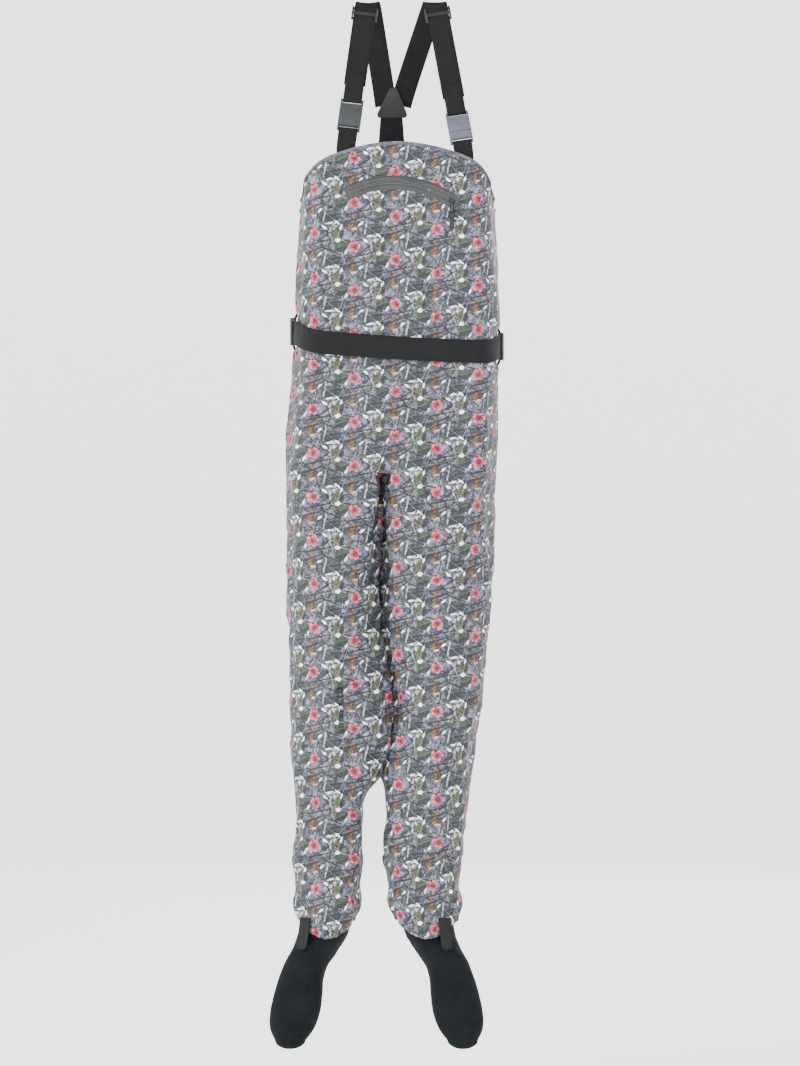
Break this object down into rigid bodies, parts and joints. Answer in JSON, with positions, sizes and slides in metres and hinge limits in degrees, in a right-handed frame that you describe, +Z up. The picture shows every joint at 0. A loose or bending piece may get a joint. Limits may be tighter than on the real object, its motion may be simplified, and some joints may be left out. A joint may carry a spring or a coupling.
{
  "type": "chest waders",
  "caption": "Stockingfoot chest waders in twig-and-leaf print, with webbing braces, a waist belt, a curved chest zip, gathered gaiters and black neoprene socks.",
  "frame": {"origin": "on the line the two braces hang from, level with the top of their folds, midway between front and back", "axes": "+Z up along the hanging garment, -Y the front, +X to the right as seen from the front"},
  "size_m": [0.4086, 0.2313, 1.8285],
  "materials": {
    "camo_laminate": "matte printed woven laminate with a fine twill",
    "neoprene": "matte jersey-faced neoprene",
    "binding_tape": "matte knitted edge tape",
    "lining_mesh": "matte tricot",
    "yoke_leather": "satin grained synthetic leather",
    "dark_grey_acetal": "satin moulded acetal",
    "grey_acetal": "satin moulded acetal",
    "black_acetal": "satin moulded acetal",
    "pull_rubber": "matte moulded rubber",
    "zip_film": "satin welded film",
    "zip_teeth": "coated coil",
    "pull_cord": "braided cord",
    "hem_elastic": "ribbed elastic",
    "tab_webbing": "close-woven webbing",
    "belt_webbing": "ribbed polypropylene webbing",
    "brace_webbing": "ribbed elastic webbing"
  },
  "bodies": {
    "root": {"back_anchor_patch": "yoke_leather", "belt_back_left": "belt_webbing", "belt_back_right": "belt_webbing", "belt_buckle_female": "black_acetal", "belt_front": "belt_webbing", "bib_back_binding": "binding_tape", "bib_back_panel": "camo_laminate", "bib_front_binding": "binding_tape", "bib_front_panel": "camo_laminate", "crotch_gusset": "camo_laminate", "left_anchor_patch": "lining_mesh", "left_anchor_strap": "brace_webbing", "left_belt_loop": "belt_webbing", "left_buckle_female": "dark_grey_acetal", "left_gaiter": "camo_laminate", "left_gaiter_elastic": "hem_elastic", "left_leg_back_panel": "camo_laminate", "left_leg_front_panel": "camo_laminate", "left_neoprene_sock": "neoprene", "left_shoulder_strap": "brace_webbing", "lower_back_strap": "brace_webbing", "pocket_lining": "lining_mesh", "right_anchor_patch": "lining_mesh", "right_anchor_strap": "brace_webbing", "right_belt_loop": "belt_webbing", "right_buckle_male": "grey_acetal", "right_gaiter": "camo_laminate", "right_gaiter_elastic": "hem_elastic", "right_leg_back_panel": "camo_laminate", "right_leg_front_panel": "camo_laminate", "right_neoprene_sock": "neoprene", "right_shoulder_strap": "brace_webbing", "yoke_back_patch": "yoke_leather", "yoke_front_patch": "yoke_leather", "zip_band": "zip_film", "zip_coil_lower": "zip_teeth", "zip_coil_upper": "zip_teeth"},
    "left_buckle_top": {"left_buckle_male": "dark_grey_acetal", "left_strap_end_loop": "brace_webbing"},
    "right_buckle_top": {"right_buckle_female": "grey_acetal", "right_strap_end_loop": "brace_webbing"},
    "belt_buckle_slide": {"belt_buckle_male": "black_acetal", "belt_end_loop": "belt_webbing"},
    "left_adjuster": {"left_strap_adjuster": "black_acetal"},
    "right_adjuster": {"right_strap_adjuster": "black_acetal"},
    "left_belt_slide": {"left_belt_slider": "black_acetal"},
    "right_belt_slide": {"right_belt_slider": "black_acetal"},
    "zip_slider": {"zip_slider": "black_acetal"},
    "zip_pull_cord": {"zip_pull_cord": "pull_cord"},
    "zip_pull_tab": {"zip_pull_tab": "pull_rubber"},
    "left_lace_tab": {"left_lace_tab": "tab_webbing"},
    "right_lace_tab": {"right_lace_tab": "tab_webbing"},
    "left_buckle_left_prong": {"left_buckle_left_prong": "dark_grey_acetal"},
    "left_buckle_right_prong": {"left_buckle_right_prong": "dark_grey_acetal"},
    "right_buckle_left_prong": {"right_buckle_left_prong": "grey_acetal"},
    "right_buckle_right_prong": {"right_buckle_right_prong": "grey_acetal"},
    "belt_buckle_left_prong": {"belt_buckle_left_prong": "black_acetal"},
    "belt_buckle_right_prong": {"belt_buckle_right_prong": "black_acetal"}
  },
  "joints": [
    {"name": "left_buckle_release", "type": "slide", "parent": "root", "child": "left_buckle_top", "axis": [0.1249, 0.3313, 0.9352], "range_m": [0, 0.026]},
    {"name": "right_buckle_release", "type": "slide", "parent": "root", "child": "right_buckle_top", "axis": [-0.1664, 0.3191, 0.933], "range_m": [0, 0.026]},
    {"name": "belt_buckle_release", "type": "slide", "parent": "root", "child": "belt_buckle_slide", "axis": [1, 0, 0], "range_m": [0, 0.026]},
    {"name": "left_buckle_left_prong_squeeze", "type": "hinge", "parent": "left_buckle_top", "child": "left_buckle_left_prong", "pos_m": [-0.0657, -0.07595, -0.19947], "axis": [0, 0.9426, -0.3339], "range_deg": [0, 7], "stiffness_Nm_per_rad": 1.8},
    {"name": "left_buckle_right_prong_squeeze", "type": "hinge", "parent": "left_buckle_top", "child": "left_buckle_right_prong", "pos_m": [-0.09149, -0.07487, -0.1964], "axis": [0, -0.9426, 0.3339], "range_deg": [0, 7], "stiffness_Nm_per_rad": 1.8},
    {"name": "right_buckle_left_prong_squeeze", "type": "hinge", "parent": "root", "child": "right_buckle_left_prong", "pos_m": [0.09825, -0.08511, -0.23311], "axis": [0, 0.9462, -0.3236], "range_deg": [0, 7], "stiffness_Nm_per_rad": 1.8},
    {"name": "right_buckle_right_prong_squeeze", "type": "hinge", "parent": "root", "child": "right_buckle_right_prong", "pos_m": [0.12389, -0.08371, -0.22902], "axis": [0, -0.9462, 0.3236], "range_deg": [0, 7], "stiffness_Nm_per_rad": 1.8},
    {"name": "belt_buckle_left_prong_squeeze", "type": "hinge", "parent": "belt_buckle_slide", "child": "belt_buckle_left_prong", "pos_m": [0.009, 0.11327, -0.579], "axis": [0, -1, 0], "range_deg": [0, 7], "stiffness_Nm_per_rad": 1.8},
    {"name": "belt_buckle_right_prong_squeeze", "type": "hinge", "parent": "belt_buckle_slide", "child": "belt_buckle_right_prong", "pos_m": [0.009, 0.11327, -0.605], "axis": [0, 1, 0], "range_deg": [0, 7], "stiffness_Nm_per_rad": 1.8},
    {"name": "left_adjuster_slide", "type": "slide", "parent": "root", "child": "left_adjuster", "axis": [-0.1249, -0.3313, -0.9352], "range_m": [0, 0.07]},
    {"name": "left_belt_slider_slide", "type": "slide", "parent": "root", "child": "left_belt_slide", "axis": [0.1093, -0.994, 0], "range_m": [0, 0.009]},
    {"name": "left_lace_tab_lift", "type": "hinge", "parent": "root", "child": "left_lace_tab", "pos_m": [-0.15718, -0.04049, -1.6], "axis": [-0.788, 0.6157, 0], "range_deg": [0, 75]},
    {"name": "right_adjuster_slide", "type": "slide", "parent": "root", "child": "right_adjuster", "axis": [0.1664, -0.3191, -0.933], "range_m": [0, 0.07]},
    {"name": "right_belt_slider_slide", "type": "slide", "parent": "root", "child": "right_belt_slide", "axis": [-0.1091, -0.994, 0], "range_m": [0, 0.009]},
    {"name": "right_lace_tab_lift", "type": "hinge", "parent": "root", "child": "right_lace_tab", "pos_m": [0.08413, -0.04496, -1.6], "axis": [-0.8988, -0.4384, 0], "range_deg": [0, 75]},
    {"name": "zip_slide", "type": "hinge", "parent": "root", "child": "zip_slider", "pos_m": [-0.005, -0.10715, -0.499], "axis": [0, -1, 0], "range_deg": [0, 58]},
    {"name": "zip_pull_swing", "type": "hinge", "parent": "zip_slider", "child": "zip_pull_cord", "pos_m": [0.09678, -0.10715, -0.35419], "axis": [0, -1, 0], "range_deg": [-58, 0]},
    {"name": "zip_pull_lift", "type": "hinge", "parent": "zip_pull_cord", "child": "zip_pull_tab", "pos_m": [0.09678, -0.11055, -0.37599], "axis": [-1, 0, 0], "range_deg": [0, 88]}
  ],
  "couplings": [
    {"joint": "zip_pull_swing", "follows": "zip_slide", "ratio": -1}
  ]
}
